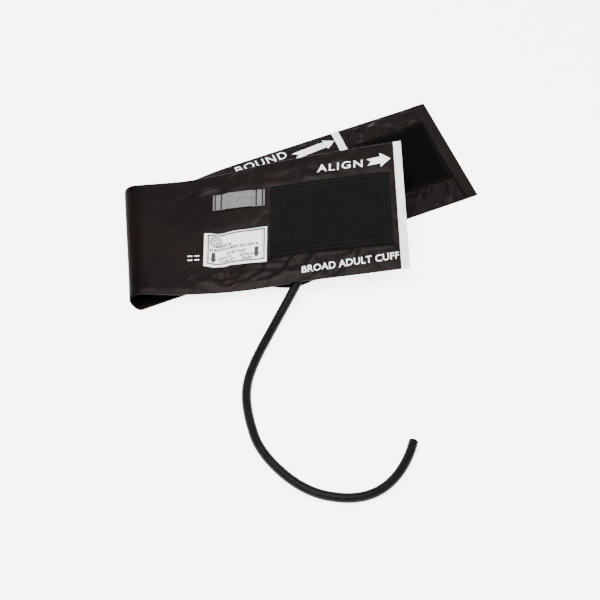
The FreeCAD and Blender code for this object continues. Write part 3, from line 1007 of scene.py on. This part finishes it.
def label_height(a, b):
    wave = 0.30 * value_noise(a, b, 14.0, 91) + 0.2 * np.sin(a / 9.0)
    return 0.5 + smooth(0, 6, from_edge(LABEL, a, b)) * (0.25 + wave)


def strap_height(a, b):
    """The webbing is sewn down near both ends and stands off the cloth between them."""
    from_end = from_ends(STRAP[0], STRAP[1], a)
    rise = 1.3 * smooth(10.0, 17.0, from_end)
    rib = 0.09 * np.sin(2 * math.pi * a / 1.15)
    selvedge = 0.16 * bell(from_ends(STRAP[2], STRAP[3], b), 0.8, 0.6)
    sewn = 0.45 * sum(bell(from_end, tack, 0.6) for tack in STRAP_TACKS)
    return 1.5 + rise + rib + selvedge - sewn


def placer(side, box=None, height=None, gap=0.05):
    """Makes a function that puts points on a sewn piece, or on the bare cloth without one."""
    def place(a, b, lift):
        over = gap + lift if height is None else height(a, b) + gap + lift
        return surface(side, *(placed(box, a, b) if box else (a, b)), over)
    return place


on_panel, on_tail = placer(UPPER), placer(LOWER)
on_loop_patch = placer(UPPER, LOOP_PATCH, loop_height, 0.1)
on_hook_patch = placer(LOWER, HOOK_PATCH, hook_height, 0.1)
on_label = placer(UPPER, LABEL, label_height)
on_strap = placer(UPPER, STRAP, strap_height, 0.0)
on_index_tape = placer(UPPER, gap=0.45)

loop_patch = patch_piece("loop_patch_pile", UPPER, LOOP_PATCH, 0.65, loop_height,
                         LOOP_PILE, "panel", 1.2)
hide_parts("loop_patch")
hook_patch = patch_piece("hook_patch_tape", LOWER, HOOK_PATCH, 2.5, hook_height,
                         HOOK_PILE, "tail", 0.6)
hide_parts("hook_patch")


def make_hooks():
    """Rows of small bent hooks standing on the tape, every other row turned round."""
    pitch_a, pitch_b = ((1.7, 1.35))
    a, b = grid(np.arange(HOOK_PATCH[0] + 4.2, HOOK_PATCH[1] - 4.0, pitch_a),
                np.arange(HOOK_PATCH[2] + 4.2, HOOK_PATCH[3] - 4.0, pitch_b))
    a = a + 0.12 * value_noise(a, b, 1.3, 81)
    base = surface(LOWER, *placed(HOOK_PATCH, a, b), 0.6).reshape(-1, 3)
    turn = np.repeat(np.where(np.arange(len(a)) % 2 == 0, 1.0, -1.0), a.shape[1])[:, None]
    ca, sa = math.cos(TAIL_TURN), math.sin(TAIL_TURN)
    along, across, up = np.array([ca, sa, 0]), np.array([-sa, ca, 0]), np.array([0, 0, 1.0])
    points = []
    for out, high, half, lying in (
        (0.0, 0.0, 0.17, False), (0.02, 0.55, 0.15, False), (0.14, 0.95, 0.14, False),
        (0.42, 1.08, 0.12, True), (0.62, 0.86, 0.08, True),
    ):
        centre = base + out * turn * across + high * up
        for da, dn in ((-half, -half), (half, -half), (half, half), (-half, half)):
            points.append(centre + da * along + dn * (up if lying else across))
    points = np.stack(points, axis=1)
    faces = repeated(tube_faces(5, 4), len(base), 20)
    mesh = mesh_from("hook_patch_hooks", points.reshape(-1, 3), faces)
    new_object("hook_patch_hooks", mesh, "tail", HOOK_PILE)


make_hooks()

label = patch_piece("instruction_label_cloth", UPPER, LABEL, 1.2, label_height,
                    LABEL_CLOTH, "panel", 0.25)
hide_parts("instruction_label")


def make_strap():
    span, thick = STRAP[1] - STRAP[0], 1.2
    rows = np.concatenate([[0.0, 0.2], np.arange(0.5, span - 0.4, 0.28), [span - 0.2, span]])
    columns = fine_edges(STRAP[3] - STRAP[2], 0.8, (0.0, 0.15, 0.45, 1.0))
    a, b = grid(STRAP[0] + rows, STRAP[2] + columns)
    from_side = from_ends(STRAP[2], STRAP[3], b)
    ragged = 0.3 * np.sin(2 * math.pi * a / 2.3) * (from_side < 0.1)
    place = placed(STRAP, a, b + ragged * np.where(b < STRAP[2] + 1, -1, 1))
    middle, half = strap_height(a, b) - thick / 2, thick / 2 * rounding(from_side, 0.5)
    top, under = surface(UPPER, *place, middle + half), surface(UPPER, *place, middle - half)
    strap = sheet_piece("gauge_strap_webbing", top, under, "panel", WEBBING,
                        uv_pairs(a, b))
    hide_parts("gauge_strap")


make_strap()


def band_round_end():
    """The white tape folded over the panel's free end."""
    end = STRIP_END[UPPER]
    start = end - INDEX_WIDTH
    rows = np.concatenate([[start, start + 0.12, start + 0.4],
                           np.arange(start + 1.4, end - 1.4, 1.2), end - CLOSING])
    columns = fine_edges(WIDTH, COLUMN)
    s, y = grid(rows, columns)
    v = y / WIDTH
    outer, inner = strip_lifts(UPPER, s, v)
    middle = -CLOTH / 2
    grow = INDEX_THICK * rounding(rows - start, 0.35)[:, None]
    edge = rounding(from_ends(0, WIDTH, columns), EDGE_ROUND)[None, :]
    close = rounding(end - rows, END_ROUND)[:, None]
    ripple = 0.12 * value_noise(s, y, 5.0, 95) * (grow > 0.2)
    outer = middle + (outer - middle + grow + ripple) * edge * close
    inner = middle + (inner - middle - grow) * edge * close
    sideways = grow * (1 - edge) * np.where(columns < WIDTH / 2, -1, 1)[None, :] / WIDTH
    beyond = INDEX_THICK * (1 - close)
    faces_of_band = [
        (s[:1], v[:1], outer[:1] - 0.5, inner[:1] + 0.5),
        (s + beyond, v + sideways, outer, inner),
    ]
    rings = np.concatenate([
        np.concatenate([on_strip(UPPER, p, q, high), on_strip(UPPER, p, q, low)[:, ::-1]], axis=1)
        for p, q, high, low in faces_of_band
    ])
    faces = grid_faces(*rings.shape[:2], wrap=True) + start_cap(len(columns), rings.shape[1])
    u, w = np.concatenate([s[:1], s]), np.concatenate([y[:1], y])
    uvs = uv_pairs(np.concatenate([u, u[:, ::-1] + 40], axis=1),
                   np.concatenate([w, w[:, ::-1]], axis=1))
    mesh = mesh_from("index_tape_band", rings.reshape(-1, 3), faces, uvs)
    band = new_object("index_tape_band", mesh, "panel", WHITE_TAPE)
    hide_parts("index_tape")


band_round_end()


def make_range_tape():
    box = (*RANGE_BAND, TAIL_NEAR, TAIL_NEAR + WIDTH)
    a, b = box_grid(box, 1.2, COLUMN, (0.0, 0.15, 0.5))
    s, v = tail_sv(a - RANGE_TILT * (box[3] - b), b)
    _, inner = strip_lifts(LOWER, s, v)
    edge = rounding(from_ends(box[2], box[3], b), EDGE_ROUND)
    middle = -CLOTH / 2
    face = middle + (inner - middle) * edge
    side_edge = rounding(from_ends(box[0], box[1], a), 0.3)
    top = on_strip(LOWER, s, v, face - 0.3 * side_edge * edge)
    under = on_strip(LOWER, s, v, face + 0.4 * edge)
    tape = sheet_piece("range_tape_line", top, under, "tail", WHITE_TAPE,
                       uv_pairs(a, b))
    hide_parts("range_tape")


make_range_tape()


# ---- stitching

def stitch_mesh(name, starts, ends, thick, lifts):
    """Short rounded threads from each start to its end, arched over the cloth."""
    sides = 6
    profile = (                              # place along the thread, thickness, height
        (0, 0.35, -0.35), (0.15, 0.9, 0.05), (0.5, 1.0, 0.22), (0.85, 0.9, 0.05), (1, 0.35, -0.35)
    )
    turn = np.linspace(0, 2 * math.pi, sides, endpoint=False)
    points = []
    for p, q, up in zip(starts, ends, lifts):
        along = (q - p) / np.linalg.norm(q - p)
        side = np.cross(along, up)
        side /= np.linalg.norm(side)
        rise = np.cross(side, along)
        for t, wide, high in profile:
            centre = p + t * (q - p) + high * thick * rise
            for c, sn in zip(np.cos(turn), np.sin(turn)):
                points.append(centre + 0.5 * thick * wide * (c * side + sn * rise))
    faces = tube_faces(len(profile), sides)
    return mesh_from(name, points, repeated(faces, len(starts), len(profile) * sides))


def sewn(name, place, starts, ends, lift, thick, body, material):
    """Threads between pairs of places on the cloth."""
    (a0, b0), (a1, b1) = np.transpose(starts), np.transpose(ends)
    p, q = place(a0, b0, lift), place(a1, b1, lift)
    up = place(a0, b0, lift + 1.0) - p
    return new_object(name, stitch_mesh(name, p, q, thick, up), body, material)


def stitches(name, place, corners, body, nodes, material=THREAD, thick=0.5, pitch=3.0,
             length=2.3, closed=True):
    """Running stitches along a line of corners; place turns each pair into a point on the cloth."""
    starts, ends = [], []
    rng = np.random.default_rng(5)
    loop = list(corners) + ([corners[0]] if closed else [])
    for (a0, b0), (a1, b1) in zip(loop, loop[1:]):
        run = math.hypot(a1 - a0, b1 - b0)
        count = max(1, int(round(run / pitch)))
        for k in range(count):
            middle, half = (k + 0.5) / count, 0.5 * length / run
            stray = rng.normal(0, 0.06, 2)
            t0, t1 = middle - half, middle + half
            starts.append((a0 + (a1 - a0) * t0 + stray[0], b0 + (b1 - b0) * t0 + stray[1]))
            ends.append((a0 + (a1 - a0) * t1 + stray[0], b0 + (b1 - b0) * t1 - stray[1]))
    item = sewn(name, place, starts, ends, 0.0, thick, body, material)
    if nodes:
        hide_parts(*nodes)


def inset_corners(box, inset):
    low_a, high_a, low_b, high_b = box[0] + inset, box[1] - inset, box[2] + inset, box[3] - inset
    return [(low_a, low_b), (high_a, low_b), (high_a, high_b), (low_a, high_b)]


stitches("loop_patch_thread", on_loop_patch, inset_corners(LOOP_PATCH, LOOP_SEAMS[0]), "panel",
         ["loop_patch_stitching"])
stitches("loop_patch_second_thread", on_loop_patch, inset_corners(LOOP_PATCH, LOOP_SEAMS[1]),
         "panel", None)
stitches("hook_patch_thread", on_hook_patch, inset_corners(HOOK_PATCH, HOOK_SEAM), "tail",
         ["hook_patch_stitching"])
stitches("label_thread", on_label, inset_corners(LABEL, LABEL_SEAM), "panel", ["label_stitching"],
         thick=0.45, pitch=2.4, length=2.0)
stitches("hem_thread", on_tail, [
    (TAIL_LENGTH - HEM + 2, TAIL_NEAR + 2),
    (TAIL_LENGTH + TAIL_SKEW - HEM - HEM_SPREAD + 2, TAIL_NEAR + WIDTH - 2),
], "tail", ["hem_stitching"], closed=False)
INDEX_SEAM = PANEL_END - INDEX_WIDTH + 1.4
stitches("index_tape_thread", on_index_tape, [(INDEX_SEAM, 2.5), (INDEX_SEAM, WIDTH - 2.5)],
         "panel", ["index_tape_stitching"], material=WHITE_THREAD, thick=0.4, closed=False)


def make_bar_tacks():
    """Dense zigzag sewing that holds the webbing at both ends."""
    starts, ends = [], []
    first, second = STRAP_TACKS
    span, reach, pitch = STRAP[1] - STRAP[0], 0.8, 0.42
    for offset in (first, second, span - second, span - first):
        for k, q in enumerate(np.arange(STRAP[2] + 0.3, STRAP[3] - 0.3, pitch)):
            slant = reach if k % 2 else -reach
            starts.append((STRAP[0] + offset - slant, q))
            ends.append((STRAP[0] + offset + slant, q + pitch))
    item = sewn("strap_tack_thread", on_strap, starts, ends, 0.1, 0.75, "panel", THREAD)
    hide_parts("strap_bar_tacks")


make_bar_tacks()


# ---- printed marks

def words_shape(words, height, length, bold, spacing):
    """Flat words, their capitals and their whole length of given sizes, from the origin."""
    curve = bpy.data.curves.new("words", "FONT")
    curve.body = words
    curve.offset = bold
    curve.space_character = spacing
    curve.resolution_u = 4
    points, faces = mesh_of_curve("words", curve)
    points = points[:, :2] - points[:, :2].min(axis=0)
    points = points * (height / points[:, 1].max())
    return points * (length / points[:, 0].max(), 1.0), faces


def arrow_shape(length, shaft, head_length, head, notch):
    """An arrow along +x with a notched tail."""
    half, wide = shaft / 2, head / 2
    neck = length - head_length
    points = [
        (notch, 0), (0, -half), (neck, -half), (neck, -wide),
        (length, 0), (neck, wide), (neck, half), (0, half),
    ]
    faces = [(0, 1, 2), (0, 2, 6), (0, 6, 7), (2, 3, 4), (2, 4, 6), (6, 4, 5)]
    return np.array(points, float), faces


def bar_shape(length, height):
    return np.array([(0, 0), (length, 0), (length, height), (0, height)], float), [(0, 1, 2, 3)]


def ring_shape(outer, inner, sides=28):
    turn = np.linspace(0, 2 * math.pi, sides, endpoint=False)
    circle = np.stack([np.cos(turn), np.sin(turn)], axis=-1)
    faces = [(k, (k + 1) % sides, sides + (k + 1) % sides, sides + k) for k in range(sides)]
    return np.concatenate([circle * outer, circle * inner]), faces


def diced(points, faces, cell):
    """Cuts flat faces into pieces no bigger than a cell, so that they can follow the cloth."""
    work = bmesh.new()
    vertices = [work.verts.new((x, y, 0)) for x, y in points]
    for face in faces:
        if len(set(face)) > 2:
            try:
                work.faces.new([vertices[i] for i in face])
            except ValueError:
                continue
    bmesh.ops.remove_doubles(work, verts=work.verts, dist=1e-5)
    for axis in (0, 1):
        low, high = points[:, axis].min(), points[:, axis].max()
        for cut in np.arange(low + cell, high, cell):
            place, direction = [0, 0, 0], [0, 0, 0]
            place[axis], direction[axis] = cut, 1
            everything = work.verts[:] + work.edges[:] + work.faces[:]
            bmesh.ops.bisect_plane(work, geom=everything, dist=1e-5,
                                   plane_co=place, plane_no=direction)
    bmesh.ops.triangulate(work, faces=work.faces)
    work.verts.index_update()
    out = np.array([v.co[:2] for v in work.verts])
    cut_faces = [tuple(v.index for v in f.verts) for f in work.faces]
    work.free()
    return out, cut_faces


def printed(name, marks, place, body, material, lift=0.16, cell=1.5):
    """Joins flat marks into one thin printed piece. A mark is (shape, origin, degrees)."""
    tops, faces, start = [], [], 0
    for (points, shape), (x0, y0), degrees in marks:
        flat, cut = diced(points, shape, cell)
        cos, sin = math.cos(math.radians(degrees)), math.sin(math.radians(degrees))
        x = x0 + flat[:, 0] * cos - flat[:, 1] * sin
        y = y0 + flat[:, 0] * sin + flat[:, 1] * cos
        tops.append(np.stack([x, y], axis=-1))
        faces += [tuple(i + start for i in face) for face in cut]
        start += len(flat)
    flat = np.concatenate(tops)
    top, under = place(flat[:, 0], flat[:, 1], lift), place(flat[:, 0], flat[:, 1], -0.25)
    mesh = closed_sheet(name, top, under, faces, flat / 1000, shade_smooth=False)
    new_object(name, mesh, body, material)


dash = bar_shape(5.2, 1.3)
printed("panel_print", [
    (words_shape("ALIGN", 8.4, 50.5, 0.010, 1.2), (207.2, 126.9), -2.6),
    (arrow_shape(26.4, 7.7, 11.8, 16.4, 4.6), (263.0, 128.5), 3.5),
    (words_shape("BROAD ADULT CUFF", 8.0, 101.6, 0.014, 1.05), (189.9, 9.0), 1.5),
    *((dash, place, -2.0) for place in ((66.5, 41.2), (66.5, 46.2), (74.0, 41.0), (74.0, 46.0))),
], on_panel, "panel", WHITE_PRINT)
printed("tail_print", [
    (words_shape("BOUND", 10.5, 62.0, 0.006, 1.15), (163.2, 131.0), 0.0),
    (arrow_shape(53.0, 8.8, 12.0, 15.5, 7.0), (231.0, 129.2), 4.5),
], on_tail, "tail", WHITE_PRINT)


def frame_marks(left, right, low, high, line):
    """The label's printed border, with a thin second line at its right."""
    for a, b, wide, tall in (
        (left, low, right - left, line), (left, high, right - left, line),
        (left, low, line, high - low), (right, low, line, high - low + line),
        (right - 1.7, low, 0.4, high - low),
    ):
        yield bar_shape(wide, tall), (a, b), 0.0


def word_marks(x0, y0, width, rng):
    """A row of strokes that stands for small words."""
    tall, stroke, gap, slope = 3.1, 0.9, 0.05, 0.04
    reached = 0.0
    while reached < width:
        letter = rng.uniform(1.7, 2.5)
        x, y = x0 + reached, y0 + slope * reached
        bar = bar_shape(letter - stroke - gap, stroke)
        yield bar_shape(stroke, tall), (x, y), 0.0
        if rng.random() < 0.75:
            yield bar, (x + stroke + gap, y + tall - stroke), 0.0
        if rng.random() < 0.6:
            yield bar, (x + stroke + gap, y), 0.0
        if rng.random() < 0.5:
            side = bar_shape(stroke, tall - 2 * stroke - 2 * gap)
            yield side, (x + letter - stroke, y + stroke + gap), 0.0
        reached += letter + 0.75


def make_label_prints():
    """A border, rings with a slanting bar, rows of small marks and two arrows."""
    x0, x1, y0, y1 = LABEL
    marks = list(frame_marks(x0 + 4.2, x1 - 3.6, y0 + 2.9, y1 - 2.9, 1.3))
    for outer, inner in ((6.7, 5.8), (5.1, 4.3), (3.3, 2.5)):
        marks.append((ring_shape(outer, inner), (x0 + 13.0, y1 - 10.6), 0.0))
    marks.append((bar_shape(5.6, 0.8), (x0 + 11.2, y1 - 8.6), -50.0))
    rng = np.random.default_rng(8)
    for a, b, width in (
        (13.5, 23.6, 15.0), (6.6, 18.9, 53.0), (25.0, 13.4, 22.0), (16.5, 8.6, 13.0),
        (39.5, 8.8, 13.5), (18.0, 4.5, 12.5), (42.0, 4.6, 10.5),
    ):
        marks += word_marks(x0 + a, y0 + b, width, rng)
    arrow = arrow_shape(12.8, 4.2, 5.6, 7.8, 0.0)
    marks += [(arrow, (x0 + 10.8, y0 + 17.4), -92.0), (arrow, (x1 - 11.0, y0 + 18.6), -92.0)]
    printed("label_print", marks, on_label, "panel", GREY_PRINT, 0.14, 1.6)


make_label_prints()


# ---- floor and light

def make_stage():
    mesh = bpy.data.meshes.new("floor")
    mesh.from_pydata([(-6, -6, 0), (6, -6, 0), (6, 6, 0), (-6, 6, 0)], [], [(0, 1, 2, 3)])
    mesh.materials.append(FLOOR)
    floor = add_object("floor", mesh)
    floor.location.z = -0.0003
    for name, place, power in (
        ("overhead softbox", (-0.4, -0.5, 2.0), 98.0), ("back softbox", (0.7, 1.7, 1.3), 10.0)
    ):
        data = bpy.data.lights.new(name, "AREA")
        data.shape = "SQUARE"
        data.size = 1.2
        data.energy = power
        lamp = add_object(name, data)
        lamp.location = place
        lamp.rotation_euler = (-Vector(place)).to_track_quat("-Z", "Y").to_euler()
    sky = bpy.data.worlds.new("studio")
    sky.use_nodes = True
    background = sky.node_tree.nodes["Background"]
    plug(sky.node_tree, background, {"Color": (1, 1, 1, 1), "Strength": 0.75})
    bpy.context.scene.world = sky


make_stage()
